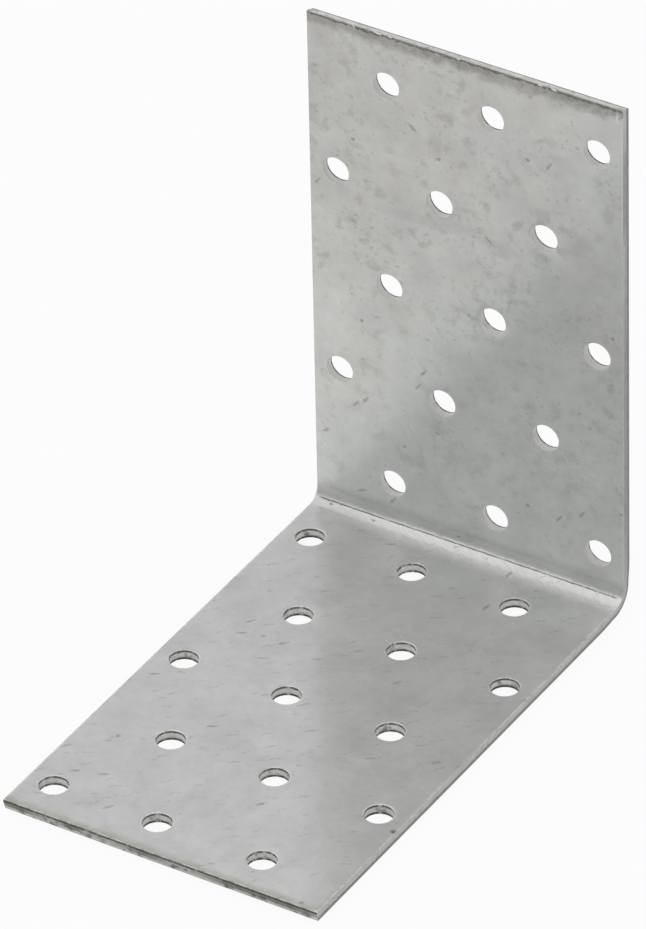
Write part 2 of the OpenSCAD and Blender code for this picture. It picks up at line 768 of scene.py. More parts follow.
class Board:
    """Draws nodes into one tree, a material's own or a group's."""

    def __init__(self, tree: bpy.types.NodeTree) -> None:
        """Starts on a tree."""
        self.tree = tree

    def add(self, kind: str, values: dict[object, object] | None = None,
            **settings: object) -> bpy.types.Node:
        """Adds a node.

        Args:
            kind: The node's type name.
            values: A value or a number for each input, by the input's name or number.
            settings: The node's own settings.

        Returns:
            The node.
        """
        node = self.tree.nodes.new(kind)
        for name, setting in settings.items():
            setattr(node, name, setting)
        for socket, value in (values or {}).items():
            self.feed(node.inputs[socket], value)
        return node

    def feed(self, socket: bpy.types.NodeSocket, value: object) -> None:
        """Links a value to an input, or sets the input's own number."""
        if isinstance(value, Value):
            self.tree.links.new(value.socket, socket)
        else:
            socket.default_value = value

    def get(self, kind: str, values: dict[object, object], output: object = 0,
            **settings: object) -> Value:
        """Adds a node and gives one of its outputs, by name or number."""
        return Value(self, self.add(kind, values, **settings).outputs[output])

    def math(self, operation: str, first: object, second: object = 0.0) -> Value:
        """Adds a Math node."""
        return self.get("ShaderNodeMath", {0: first, 1: second}, operation=operation)

    def vector(self, operation: str, first: object, second: object) -> Value:
        """Adds a Vector Math node."""
        return self.get("ShaderNodeVectorMath", {0: first, 1: second}, operation=operation)

    def scaled(self, vector: object, scale: object) -> Value:
        """Multiplies a vector or a colour by one number."""
        values = {0: vector, "Scale": scale}
        return self.get("ShaderNodeVectorMath", values, operation="SCALE")

    def split(self, vector: Value) -> list[Value]:
        """Gives the three parts of a vector."""
        parts = self.add("ShaderNodeSeparateXYZ", {0: vector})
        return [Value(self, part) for part in parts.outputs]

    def turned(self, vector: Value, angle: object) -> Value:
        """Turns a place about the sheet's upright axis."""
        values = {"Vector": vector, "Angle": angle}
        return self.get("ShaderNodeVectorRotate", values, rotation_type="Z_AXIS")

    def step(self, value: object, low: object, high: object, start: object = 0.0,
             stop: object = 1.0) -> Value:
        """Maps a value smoothly from low..high to start..stop."""
        values = {"Value": value, "From Min": low, "From Max": high, "To Min": start,
                  "To Max": stop}
        return self.get("ShaderNodeMapRange", values, interpolation_type="SMOOTHSTEP")

    def noise(self, vector: object, scale: float = 1.0, detail: float = 3.0,
              roughness: float = 0.5) -> Value:
        """Adds a Noise Texture, about 0.5 on average."""
        values = {"Vector": vector, "Scale": scale, "Detail": detail, "Roughness": roughness}
        return self.get("ShaderNodeTexNoise", values)

    def blend(self, factor: object, first: object, second: object) -> Value:
        """Mixes two colours."""
        values = {0: factor, 6: first, 7: second}
        return self.get("ShaderNodeMix", values, 2, data_type="RGBA")


@dataclass(frozen=True)
class Ramp:
    """A smooth change from start to stop, while a value goes from low to high."""

    low: float
    high: float
    start: float = 0.0
    stop: float = 1.0

    def of(self, value: Value) -> Value:
        """Runs a value through the ramp."""
        return value.board.step(value, self.low, self.high, self.start, self.stop)


@dataclass(frozen=True)
class Share:
    """A share with a least value, and how much more it grows with a value from 0 to 1."""

    least: float
    more: float

    def of(self, value: Value) -> Value:
        """Gives the share at a value."""
        return value * self.more + self.least


@dataclass(frozen=True)
class Patches:
    """Soft uneven patches: noise that runs through a ramp."""

    scale: float
    ramp: Ramp
    detail: float = 3.0
    roughness: float = 0.6

    def on(self, place: Value) -> Value:
        """Lays the patches over a place on the strip."""
        return self.ramp.of(place.board.noise(place, self.scale, self.detail, self.roughness))


class Effect:
    """A look that is drawn once, as a group. Each use gives the group numbers of its own.

    A subclass is a dataclass. Its fields are the group's inputs, in millimetres or shares.
    """

    title: ClassVar[str]

    def inputs(self) -> dict[str, float]:
        """Gives this use's numbers for the group's inputs, by name."""
        return {part.name: getattr(self, part.name) for part in fields(self)}

    def draw(self, board: Board, take: dict[str, Value]) -> dict[str, Value]:
        """Draws the effect on its group's board.

        Args:
            board: The board of the group.
            take: The group's inputs by name, with place among them.

        Returns:
            The group's outputs by name.
        """
        raise NotImplementedError

    def start(self, names: list[str]) -> bpy.types.NodeTree:
        """Builds the group.

        Args:
            names: Names of the inputs beside the place.

        Returns:
            The group's tree.
        """
        tree = bpy.data.node_groups.new(self.title, "ShaderNodeTree")
        tree.interface.new_socket("place", in_out="INPUT", socket_type="NodeSocketVector")
        for name in names:
            tree.interface.new_socket(name, in_out="INPUT", socket_type="NodeSocketFloat")
        board = Board(tree)
        entry = board.add("NodeGroupInput")
        leave = board.add("NodeGroupOutput")
        drawn = self.draw(board, {port.name: Value(board, port) for port in entry.outputs})
        for name, value in drawn.items():
            tree.interface.new_socket(name, in_out="OUTPUT", socket_type="NodeSocketFloat")
            board.feed(leave.inputs[name], value)
        return tree

    def use(self, place: Value, **linked: Value) -> dict[str, Value]:
        """Uses the group, which the first use builds.

        Args:
            place: Place on the strip.
            linked: Inputs that come from other nodes, by name.

        Returns:
            The group's outputs by name.
        """
        given = {**self.inputs(), **linked}
        tree = bpy.data.node_groups.get(self.title) or self.start(list(given))
        board = place.board
        node = board.add("ShaderNodeGroup", node_tree=tree)
        for name, value in {"place": place, **given}.items():
            board.feed(node.inputs[name], value)
        return {port.name: Value(board, port) for port in node.outputs}

    def mask(self, place: Value, **linked: Value) -> Value:
        """Uses a group whose one output is a mask."""
        return self.use(place, **linked)["mask"]


@dataclass(frozen=True)
class Clouds(Effect):
    """The soft clouds of a zinc coat: a tone about 1, and a hue about 0.5."""

    title: ClassVar[str] = "Zinc clouds"
    broad_swing: ClassVar[float] = 0.75
    small_swing: ClassVar[float] = 0.35
    hue_shift: ClassVar[tuple[float, float, float]] = (31.0, 17.0, 5.0)
    size: float
    strength: float

    def draw(self, board: Board, take: dict[str, Value]) -> dict[str, Value]:
        """Draws broad clouds with small ones in them."""
        near = board.scaled(take["place"], 1.0 / take["size"])
        broad = board.noise(near, 1.0, 2.0, 0.55).swing(self.broad_swing)
        uneven = broad + board.noise(near, 4.3, 3.0, 0.6).swing(self.small_swing)
        shifted = board.vector("ADD", near, self.hue_shift)
        return {"tone": uneven * take["strength"] + 1.0,
                "hue": board.noise(shifted, 0.8, 2.0, 0.5)}


@dataclass(frozen=True)
class Grain(Effect):
    """The fine grain that rolling leaves along the strip: a height and a tone about 1."""

    title: ClassVar[str] = "Rolled grain"
    width: float = 0.35
    length: float = 2.8
    strength: float = 0.07

    def draw(self, board: Board, take: dict[str, Value]) -> dict[str, Value]:
        """Draws noise that is stretched along the strip."""
        x, s, d = board.split(take["place"])
        drawn = {0: x / take["width"], 1: s / take["length"], 2: d}
        height = board.noise(board.get("ShaderNodeCombineXYZ", drawn), 1.0, 3.0, 0.6)
        return {"height": height, "tone": height.swing(0.5) * take["strength"] + 1.0}


@dataclass(frozen=True)
class Dashes(Effect):
    """Scattered short dashes that lie roughly one way, one in each cell of a Voronoi pattern."""

    title: ClassVar[str] = "Short dashes"
    most_sway: ClassVar[float] = 0.35
    most_bend: ClassVar[float] = 0.35
    lengths: ClassVar[Share] = Share(0.3, 0.9)
    wear: ClassVar[Patches] = Patches(1.9, Ramp(0.38, 0.58))
    spacing: float = 3.4
    half_length: float = 1.6
    half_width: float = 0.2
    angle: float = -0.68
    share: float = 1.0

    def draw(self, board: Board, take: dict[str, Value]) -> dict[str, Value]:
        """Draws each cell's dash with a turn, a length and a strength of its own."""
        turned = board.turned(take["place"], take["angle"])
        cells = board.scaled(turned, 1.0 / take["spacing"])
        found = board.add("ShaderNodeTexVoronoi", {"Vector": cells, "Scale": 1.0},
                          voronoi_dimensions="2D")
        middle = Value(board, found.outputs["Position"])
        local = board.scaled(board.vector("SUBTRACT", cells, middle), take["spacing"])
        own = board.add("ShaderNodeSeparateColor", {0: Value(board, found.outputs["Color"])})
        sway, length, strength = (Value(board, draw) for draw in own.outputs)
        along, across, _ = board.split(board.turned(local, sway.swing(self.most_sway)))
        bend = board.noise(turned, 0.9, 3.0).swing(self.most_bend)
        half = take["half_width"]
        thin = board.step(abs(across + bend), half * 0.1, half * 1.5, 1.0, 0.0)
        reach = take["half_length"] * self.lengths.of(length)
        short = board.step(abs(along), reach * 0.4, reach, 1.0, 0.0)
        here = board.step(strength, 0.0, take["share"], 1.0, 0.0)
        return {"mask": thin * short * (here * self.wear.on(turned))}


@dataclass(frozen=True)
class Blotches(Effect):
    """Uneven soft blotches that gather here and there."""

    title: ClassVar[str] = "Blotches"
    gather_shift: ClassVar[tuple[float, float, float]] = (7.0, 3.0, 11.0)
    gather_blur: ClassVar[float] = 0.09
    size: float
    low: float
    high: float
    gather_size: float
    gather: float

    def draw(self, board: Board, take: dict[str, Value]) -> dict[str, Value]:
        """Draws noise above a level, where broader noise lets it."""
        near = board.scaled(take["place"], 1.0 / take["size"])
        lumps = board.step(board.noise(near, 1.0, 3.0, 0.6), take["low"], take["high"])
        wide = board.scaled(take["place"], 1.0 / take["gather_size"])
        wide = board.noise(board.vector("ADD", wide, self.gather_shift), 1.0, 2.0, 0.5)
        low = take["gather"] - self.gather_blur
        return {"mask": lumps * board.step(wide, low, take["gather"] + self.gather_blur)}


@dataclass(frozen=True)
class RaggedBand(Effect):
    """A band that reaches unevenly from an edge, whose distance comes as gap. It is 1 there."""

    title: ClassVar[str] = "Ragged band"
    noise_swing: ClassVar[float] = 1.5
    least_reach: ClassVar[float] = 0.02
    reach: float
    core: float
    unevenness: float
    pitch: float

    def draw(self, board: Board, take: dict[str, Value]) -> dict[str, Value]:
        """Draws the band full to the core's share of its reach, and then fading."""
        near = board.scaled(take["place"], 1.0 / take["pitch"])
        uneven = board.noise(near, 1.0, 4.0, 0.6).swing(self.noise_swing) * take["unevenness"]
        reach = (take["reach"] * (uneven + 1.0)).or_more(self.least_reach)
        return {"mask": board.step(take["gap"], reach * take["core"], reach, 1.0, 0.0)}


@dataclass(frozen=True)
class CutBands(Effect):
    """The bands of a cut edge: the upper band, its two dark lines of painted shade, and a height."""

    title: ClassVar[str] = "Cut bands"
    border: ClassVar[Ramp] = Ramp(-0.18, 0.18)
    wear: ClassVar[Patches] = Patches(0.9, Ramp(0.34, 0.5, 0.3, 1.0))
    streaks: ClassVar[tuple[float, float, float]] = (6.0, 6.0, 0.6)
    streak_height: ClassVar[float] = 0.35
    split: float = 0.7
    line_depth: float = 1.78
    line_width: float = 0.10
    foot_width: float = 0.22
    ragged: float = 0.25

    def draw(self, board: Board, take: dict[str, Value]) -> dict[str, Value]:
        """Draws what lies above the split, a painted shade line near the top and one at the foot."""
        x, s, depth = board.split(take["place"])
        flat = board.get("ShaderNodeCombineXYZ", {0: x, 1: s})
        wander = board.noise(flat, 1.1, 4.0, 0.65).swing(0.5) * take["ragged"]
        upper = self.border.of(depth - (wander * 2.0 + take["split"]))
        worn = self.wear.on(flat)
        width = take["line_width"]
        line = abs(depth - (wander * 0.6 + take["line_depth"]))
        line = board.step(line, width * 0.5, width, 1.0, 0.0)
        width = take["foot_width"]
        foot = board.step(wander * 0.5 + depth, width * 0.55, width, 1.0, 0.0)
        drawn = board.vector("MULTIPLY", take["place"], self.streaks)
        streak = board.noise(drawn, 1.0, 3.0, 0.6) * self.streak_height
        rough = board.noise(take["place"], 7.0, 4.0, 0.7) * (1.0 - upper)
        return {"upper": upper, "line": line * worn, "foot": foot * worn,
                "height": streak + rough}


@dataclass(frozen=True)
class Mark:
    """A soft mark on the strip, in millimetres, turned in degrees from x towards s."""

    half_height: ClassVar[float] = 10.0
    steepness: ClassVar[float] = 1.7
    x: float
    s: float
    half_length: float
    half_width: float
    turn: float
    strength: float

    def draw(self, board: Board, place: Value, level: float) -> Value:
        """Draws the mark as a long soft spot.

        Args:
            board: The board of the group that holds the marks.
            place: Place on the strip.
            level: Height of the marked surface above the outer face.

        Returns:
            The mark's mask, which its set holds down to the strength of the set's strongest.
        """
        values = {"Vector": place, "Location": (self.x, self.s, level),
                  "Rotation": (0.0, 0.0, math.radians(self.turn)),
                  "Scale": (self.half_length, self.half_width, self.half_height)}
        turned = board.get("ShaderNodeMapping", values, vector_type="TEXTURE")
        spot = board.get("ShaderNodeTexGradient", {"Vector": turned}, "Fac",
                         gradient_type="SPHERICAL")
        return spot * (self.strength * self.steepness)


@dataclass(frozen=True)
class MarkSet(Effect):
    """Placed marks with uneven outlines, at one level above the outer face."""

    title: str
    marks: tuple[Mark, ...]
    level: float = 2.0
    warp: float = 0.8
    warp_scale: float = 1.9

    def inputs(self) -> dict[str, float]:
        """Has no inputs beside the place, as each set is used once."""
        return {}

    def draw(self, board: Board, take: dict[str, Value]) -> dict[str, Value]:
        """Draws all the marks, with their outlines bent by noise."""
        values = {"Vector": take["place"], "Scale": self.warp_scale, "Detail": 3.0}
        sway = board.get("ShaderNodeTexNoise", values, "Color")
        sway = board.scaled(board.vector("SUBTRACT", sway, (0.5, 0.5, 0.5)), self.warp)
        place = board.vector("ADD", take["place"], sway)
        mask = self.marks[0].draw(board, place, self.level)
        for mark in self.marks[1:]:
            mask = mask.or_more(mark.draw(board, place, self.level))
        top = max(mark.strength for mark in self.marks)
        return {"mask": board.math("MINIMUM", mask, top)}


class Surface:
    """A finish's material and what can be read where it lies on the strip."""

    def __init__(self, name: str) -> None:
        """Makes the material and splits up the place on the strip."""
        self.material = bpy.data.materials.new(name)
        self.material.use_nodes = True
        self.shader = self.material.node_tree.nodes["Principled BSDF"]
        self.board = Board(self.material.node_tree)
        self.place = self.read("strip_place", "Vector")
        self.x, self.s, self.d = self.board.split(self.place)

    def read(self, name: str, output: str = "Fac") -> Value:
        """Reads what the mesh holds under a name."""
        return self.board.get("ShaderNodeAttribute", {}, output, attribute_name=name)

    def feed(self, name: str, value: object) -> None:
        """Feeds one of the shader's inputs."""
        self.board.feed(self.shader.inputs[name], value)

    def bump(self, height: Value, distance: float) -> None:
        """Gives the surface a fine relief, in metres."""
        values = {"Height": height, "Distance": distance, "Strength": 1.0}
        self.feed("Normal", self.board.get("ShaderNodeBump", values))


@dataclass(frozen=True)
class ZincFinish:
    """The zinc coat on both broad faces and on the rolled shoulders."""

    name: str = "zinc_coat"
    grey: Colour = (0.526, 0.527, 0.525, 1.0)
    warm: Colour = (0.550, 0.546, 0.520, 1.0)
    cool: Colour = (0.514, 0.534, 0.514, 1.0)
    rosy: Colour = (0.545, 0.500, 0.482, 1.0)
    # Pressed zinc beside the crease, painted light as a highlight
    pressed: Colour = (0.870, 0.870, 0.860, 1.0)
    # Chipped zinc, and the painted highlight on the rims
    chip: Colour = (0.900, 0.900, 0.870, 1.0)
    # Dark dirt marks, and the painted shade in the crease and along the free ends
    dirt: Colour = (0.150, 0.145, 0.125, 1.0)
    film: Colour = (0.395, 0.388, 0.342, 1.0)
    stain: Colour = (0.205, 0.198, 0.160, 1.0)
    metallic: float = 0.42
    pressed_metallic: float = 0.20
    shine: float = 0.185
    pressed_shine: float = 0.46
    # The inner face, by its height above the outer one
    inner_side: Ramp = Ramp(1.2, 1.5)
    # The plain coat
    clouds: Clouds = Clouds(size=7.0, strength=0.22)
    cloud_dullness: Share = Share(-0.03, 0.06)
    grain: Grain = Grain()
    grain_height: float = 0.4
    grain_relief: float = 0.000008
    upright_tint: Ramp = Ramp(97.0, 101.0, 0.15, 0.9)
    # The cool tint grows with x, falls with s, and wanders with the clouds' hue
    cool_side: Ramp = Ramp(-68.0, -26.0)
    cool_x: float = 0.7
    cool_s: float = -0.5
    cool_hue: float = 60.0
    flush: Blotches = Blotches(size=3.2, low=0.48, high=0.60, gather_size=16.0, gather=0.52)
    flush_height: Ramp = Ramp(115.0, 140.0, 0.0, 0.28)
    # Broad light and shade
    low_light: Ramp = Ramp(100.0, 165.0, 0.13, 0.0)
    left_light: Ramp = Ramp(-31.0, -12.0, 0.11, 0.0)
    left_height: Ramp = Ramp(130.0, 188.0, 1.0, 0.0)
    upright_light: Ramp = Ramp(99.0, 103.0)
    front_light: Ramp = Ramp(0.0, 60.0, 0.06, 0.0)
    front_side: Ramp = Ramp(-5.0, 25.0)
    crease_shade: Ramp = Ramp(1.2, 4.2, 0.23, 0.0)
    crease_start: Ramp = Ramp(0.0, 0.9)
    foot_light: Ramp = Ramp(-15.0, -4.0, 0.0, 0.05)
    fold_at: float = 98.0
    fold_haze: Ramp = Ramp(16.0, 38.0, 0.13, 0.0)
    # Rubbed rims with a painted highlight along every edge and hole
    rim_rub: Ramp = Ramp(0.06, 0.42, 0.42, 0.0)
    rim_patches: Patches = Patches(0.7, Ramp(0.40, 0.58))
    rim_leg: Ramp = Ramp(90.0, 100.0, 1.0, 0.3)
    # Zinc that the folding tool pressed beside the crease, painted bright as a highlight
    lower_press: RaggedBand = RaggedBand(reach=4.8, core=0.22, unevenness=0.3, pitch=4.5)
    upper_press: RaggedBand = RaggedBand(reach=0.55, core=0.3, unevenness=1.2, pitch=1.4)
    upper_press_share: float = 0.5
    press_side: Ramp = Ramp(-30.0, -12.0, 0.28, 1.0)
    brush_turn: float = 0.75
    brush_stretch: tuple[float, float, float] = (0.35, 1.3, 1.0)
    brush: Patches = Patches(1.0, Ramp(0.36, 0.60, 0.74, 1.0))
    # Scattered and placed marks
    dashes: Dashes = Dashes()
    dash_share: Share = Share(0.05, 0.34)
    smudges: Blotches = Blotches(size=2.6, low=0.50, high=0.68, gather_size=11.0, gather=0.47)
    smudge_share: Share = Share(0.06, 0.15)
    specks: Blotches = Blotches(size=1.0, low=0.56, high=0.70, gather_size=5.0, gather=0.50)
    speck_share: Share = Share(0.07, 0.24)
    mark_height: Ramp = Ramp(105.0, 150.0, 0.6, 1.0)
    dark_marks: tuple[MarkSet, ...] = ()
    pale_marks: tuple[MarkSet, ...] = ()
    # The film at the front, and the stain under the top
    film_band: RaggedBand = RaggedBand(reach=2.0, core=0.1, unevenness=0.5, pitch=4.0)
    film_patches: Patches = Patches(0.25, Ramp(0.35, 0.62, 0.65, 1.0))
    stain_band: RaggedBand = RaggedBand(reach=3.0, core=0.42, unevenness=0.6, pitch=2.8)
    stain_side: Ramp = Ramp(-33.0, -17.0, 0.7, 1.0)
    stain_mottle: Blotches = Blotches(size=1.3, low=0.38, high=0.58, gather_size=6.0, gather=0.44)
    stain_depth: Share = Share(0.42, 0.22)
    stain_edge: Ramp = Ramp(0.8, 1.8, 0.06, 0.0)
    # Painted shade in the crease groove and along the free ends
    dirt_dullness: float = 0.3
    dirt_patches: Patches = Patches(0.8, Ramp(0.36, 0.5, 0.25, 1.0), 4.0, 0.65)
    groove: Ramp = Ramp(0.04, 0.16, 0.75, 0.0)
    groove_ends: Ramp = Ramp(28.6, 29.3, 1.0, 0.0)
    groove_wander: float = 0.2
    burr_band: RaggedBand = RaggedBand(reach=0.56, core=0.85, unevenness=1.0, pitch=1.2)
    burr_share: float = 0.92
    worn_band: RaggedBand = RaggedBand(reach=0.22, core=0.5, unevenness=1.0, pitch=1.5)
    worn_share: float = 0.5

    def dress(self) -> bpy.types.Material:
        """Makes the material.

        Returns:
            The zinc coat.
        """
        at = Surface(self.name)
        board = at.board
        inside = self.inner_side.of(at.d)
        clouds = self.clouds.use(at.place)
        grain = self.grain.use(at.place)
        colour = self.tint(at, clouds["hue"])
        flushed = self.flush.mask(at.place) * self.flush_height.of(at.s)
        colour = board.blend(flushed, colour, self.rosy)
        colour = board.scaled(colour, clouds["tone"] * grain["tone"] * self.lightness(at))
        # The pressed zinc beside the crease gets a pale colour that paints its highlight
        pressed = self.fold_wear(at) * inside
        colour = board.blend(pressed, colour, self.pressed)
        # Painted shade in the crease and along the ends, with the dark dirt marks
        dirt = self.edge_dirt(at)
        for marks in self.dark_marks:
            dirt = dirt.or_more(marks.mask(at.place))
        dirt = (dirt * inside).or_more(self.scattered(at))
        colour = board.blend(self.front_film(at) * inside, colour, self.film)
        colour = board.blend(self.top_stain(at) * inside, colour, self.stain)
        colour = board.blend(dirt, colour, self.dirt)
        for marks in self.pale_marks:
            colour = board.blend(marks.mask(at.place) * inside, colour, self.chip)
        # The pale rims are rubbed zinc with a painted highlight
        colour = board.blend(self.rubbed_rims(at), colour, self.chip)
        at.feed("Base Color", colour)
        at.feed("Metallic", pressed * (self.pressed_metallic - self.metallic) + self.metallic)
        dull = self.cloud_dullness.of(clouds["hue"]) + dirt * self.dirt_dullness
        dull = dull + self.fold_haze.of(abs(at.s - self.fold_at)) + self.shine
        at.feed("Roughness", dull + pressed * (self.pressed_shine - self.shine))
        at.bump(grain["height"] * self.grain_height, self.grain_relief)
        return at.material

    def tint(self, at: Surface, hue: Value) -> Value:
        """Gives the coat's plain colour, neutral on the base, warm to green on the upright."""
        slope = at.x * self.cool_x + at.s * self.cool_s + hue * self.cool_hue
        leaning = at.board.blend(self.cool_side.of(slope), self.warm, self.cool)
        return at.board.blend(self.upright_tint.of(at.s), self.grey, leaning)

    def rubbed_rims(self, at: Surface) -> Value:
        """Gives the share of pale rubbed zinc with a painted highlight on the very rim of every edge
        and hole.
        """
        worn = self.rim_patches.on(at.place) * self.rim_leg.of(at.s)
        return self.rim_rub.of(at.read("rim_gap")) * worn

    def lightness(self, at: Surface) -> Value:
        """Gives the painted light and shade as a tone about 1: lighter low on the upright, at its
        left, in front and on the base next to the fold, with painted shade above the crease.
        """
        left = self.left_light.of(at.x) * self.left_height.of(at.s)
        upright = (self.low_light.of(at.s) + left) * self.upright_light.of(at.s)
        front = self.front_light.of(at.s) * self.front_side.of(at.x)
        crease = at.read("crease_gap")
        shade = self.crease_shade.of(crease) * self.crease_start.of(crease)
        foot = self.foot_light.of(crease) * (crease < 0.0)
        return upright - shade + foot + front + 1.0

    def fold_wear(self, at: Surface) -> Value:
        """Gives the share of pressed zinc beside the crease of the fold, painted bright as a
        highlight.
        """
        crease = at.read("crease_gap")
        lower = self.lower_press.mask(at.place, gap=crease * -1.0) * (crease < 0.0)
        upper = self.upper_press.mask(at.place, gap=crease) * (crease > 0.0)
        leaning = at.board.turned(at.place, self.brush_turn)
        brushed = self.brush.on(at.board.vector("MULTIPLY", leaning, self.brush_stretch))
        return (upper * self.upper_press_share + lower) * (self.press_side.of(at.x) * brushed)

    def scattered(self, at: Surface) -> Value:
        """Gives the scattered marks: dashes on the base, specks and smudges on the upright."""
        upright = at.s > LEG_BORDER
        high = self.mark_height.of(at.s) * upright
        dashes = self.dashes.mask(at.place) * self.dash_share.of(1.0 - upright)
        smudges = self.smudges.mask(at.place) * self.smudge_share.of(high)
        return dashes + smudges + self.specks.mask(at.place) * self.speck_share.of(high)

    def flat_place(self, at: Surface) -> Value:
        """Gives the place on the strip without its height, so that edges look cut through."""
        return at.board.vector("MULTIPLY", at.place, (1.0, 1.0, 0.0))

    def front_film(self, at: Surface) -> Value:
        """Gives the share of the dried film behind the free end of the base."""
        flat = self.flat_place(at)
        film = self.film_band.mask(flat, gap=at.read("end_gap"))
        return film * (self.film_patches.on(flat) * (at.s < LEG_BORDER))

    def top_stain(self, at: Surface) -> Value:
        """Gives the share of the brown stain under the free end of the upright."""
        flat = self.flat_place(at)
        end = at.read("end_gap")
        reach = self.stain_side.of(at.x) * self.stain_band.reach
        stain = self.stain_band.mask(flat, gap=end, reach=reach)
        depth = self.stain_depth.of(self.stain_mottle.mask(flat)) + self.stain_edge.of(end)
        return stain * (depth * (at.s > LEG_BORDER))

    def edge_dirt(self, at: Surface) -> Value:
        """Gives the painted shade in the crease groove, along the front end, and the burr's painted
        shadow under the top end.
        """
        flat = self.flat_place(at)
        end = at.read("end_gap")
        broken = self.dirt_patches.on(flat)
        wander = at.board.noise(flat, 0.9, 3.0, 0.6).swing(self.groove_wander)
        # A painted dark line in the crease groove
        groove = self.groove.of(abs(at.read("crease_gap") + wander))
        groove = groove * (broken * self.groove_ends.of(abs(at.x)))
        # The burr's painted shadow under the top end
        burr_shadow = self.burr_band.mask(flat, gap=end) * ((at.s > LEG_BORDER) * broken)
        # A painted shade line along the front end
        worn = self.worn_band.mask(flat, gap=end) * (at.s < LEG_BORDER)
        return groove.or_more(burr_shadow * self.burr_share).or_more(worn * self.worn_share)


@dataclass(frozen=True)
class CutFinish:
    """Bare steel of a cut edge: one tone where the tool sheared it, one where it broke."""

    name: str
    upper: Colour
    lower: Colour
    bands: CutBands = CutBands()
    # Colour of the painted shade lines near the top and at the foot, and of the dark flecks
    line: Colour = (0.055, 0.052, 0.042, 1.0)
    upper_line: float = 0.2
    foot: float = 0.7
    metallic: float = 0.6
    shine: float = 0.36
    torn_dullness: float = 0.15
    relief: float = 0.00003
    mottle: float = 0.3
    mottle_size: float = 1.6
    flecks: float = 0.2
    fleck_form: Blotches = Blotches(size=1.5, low=0.48, high=0.66, gather_size=6.0, gather=0.45)
    stretches: tuple[MarkSet, ...] = ()
    stretch: Colour = (0.560, 0.560, 0.545, 1.0)
    stretch_upper: bool = False

    def dress(self) -> bpy.types.Material:
        """Makes the material.

        Returns:
            The cut edge's finish.
        """
        at = Surface(self.name)
        board = at.board
        bands = self.bands.use(at.place)
        colour = board.blend(bands["upper"], self.lower, self.upper)
        for marks in self.stretches:
            stretch = marks.mask(at.place)
            if self.stretch_upper:
                stretch = stretch * bands["upper"]
            colour = board.blend(stretch, colour, self.stretch)
        clouds = Clouds(self.mottle_size, self.mottle).use(at.place)
        colour = board.scaled(colour, clouds["tone"])
        # Painted shade lines near the top and at the foot, and the dark flecks
        lines = (bands["line"] * self.upper_line).or_more(bands["foot"] * self.foot)
        lines = lines.or_more(self.fleck_form.mask(at.place) * self.flecks)
        at.feed("Base Color", board.blend(lines, colour, self.line))
        at.feed("Metallic", self.metallic)
        at.feed("Roughness", (1.0 - bands["upper"]) * self.torn_dullness + self.shine)
        at.bump(bands["height"], self.relief)
        return at.material


SPECKS = tuple(Mark(x, s, 0.5, 0.4, 0.0, 0.55) for x, s in (
    (-21.5, 174.0), (-5.0, 175.5), (28.0, 151.0), (-6.0, 120.0), (-12.5, 115.0), (11.5, 111.5),
    (-26.5, 97.5), (-2.0, 100.0), (-18.0, 97.0), (29.5, 116.0), (-23.0, 24.0), (-17.0, 59.5),
    (26.5, 1.0), (12.0, 181.0), (-20.5, 138.0),
))
PITS = (Mark(29.5, 24.5, 0.8, 0.6, 0.0, 0.95),)
DASHES = tuple(Mark(x, s, 1.3, 0.35, turn, 0.45) for x, s, turn in (
    (20.5, 195.5, 0.0), (16.0, 181.0, 55.0), (-10.0, 180.0, -35.0), (-28.5, 163.5, 55.0),
    (4.5, 162.5, -40.0), (-8.5, 131.5, 50.0), (-9.5, 128.5, 50.0), (-22.0, 120.5, 50.0),
    (-20.0, 122.0, 55.0), (-28.0, 113.0, 35.0), (-15.0, 103.0, 55.0), (-21.0, 103.0, 20.0),
    (17.5, 111.0, 55.0), (22.0, 113.5, 55.0), (-29.0, 17.5, 55.0), (-24.0, 12.5, 30.0),
    (-19.5, 14.0, 30.0), (-14.0, 7.0, 55.0), (-21.0, 62.0, 60.0), (-20.5, 58.5, 30.0),
    (-13.0, 59.5, 45.0), (-27.0, 41.5, 30.0), (-11.0, 34.0, 30.0), (16.0, 39.5, 30.0),
    (7.0, 20.0, 50.0), (9.0, 59.5, 55.0), (26.0, 44.0, 45.0), (11.0, 85.0, 85.0),
    (9.5, 95.0, 90.0), (-12.0, 92.5, 30.0),
))
SMUDGES = tuple(Mark(x, s, long, 0.6 * long, turn, 0.15) for x, s, long, turn in (
    (-14.5, 174.0, 1.6, 0.0), (-6.0, 162.0, 1.8, 20.0), (7.0, 161.0, 2.0, -35.0),
    (27.0, 175.0, 1.6, 20.0), (22.0, 167.0, 3.5, 50.0), (10.5, 140.0, 1.6, 0.0),
    (26.0, 132.0, 2.0, 40.0), (1.5, 142.0, 1.6, 35.0), (-1.0, 127.5, 1.5, 15.0),
    (9.0, 128.0, 1.7, 50.0), (-5.5, 178.0, 3.0, 90.0),
))
STREAKS = (
    Mark(-8.0, 162.5, 13.0, 1.6, 3.0, 0.11),
    Mark(6.0, 162.0, 7.0, 1.2, -8.0, 0.11),
)
CHIPS = (
    Mark(-21.0, 196.5, 0.6, 0.3, -60, 0.8),
    Mark(-16.5, 196.5, 1.2, 0.35, -5, 0.85),
    Mark(-14.0, 196.5, 0.6, 0.35, -10, 0.8),
    Mark(-1.0, 196.5, 0.6, 0.35, 0, 0.6),
    Mark(14.5, 196.5, 0.5, 0.35, -35, 0.8),
    Mark(17.0, 196.5, 0.8, 0.35, -20, 0.85),
    Mark(29.0, 195.0, 1.5, 0.4, 95, 0.3),
)
SIDE_STRETCHES = (
    Mark(30.0, 179.5, 3.0, 13.0, 0, 0.95),
    Mark(30.0, 133.0, 3.0, 44.0, 0, 0.95),
)
DARK_STRETCHES = (
    Mark(20.0, 0.0, 14.0, 3.0, 0, 0.95),
    Mark(-17.0, 0.0, 3.0, 3.0, 0, 0.7),
    Mark(-3.0, 0.0, 5.0, 3.0, 0, 0.6),
    Mark(-28.0, 0.0, 6.0, 3.0, 0, 0.8),
)


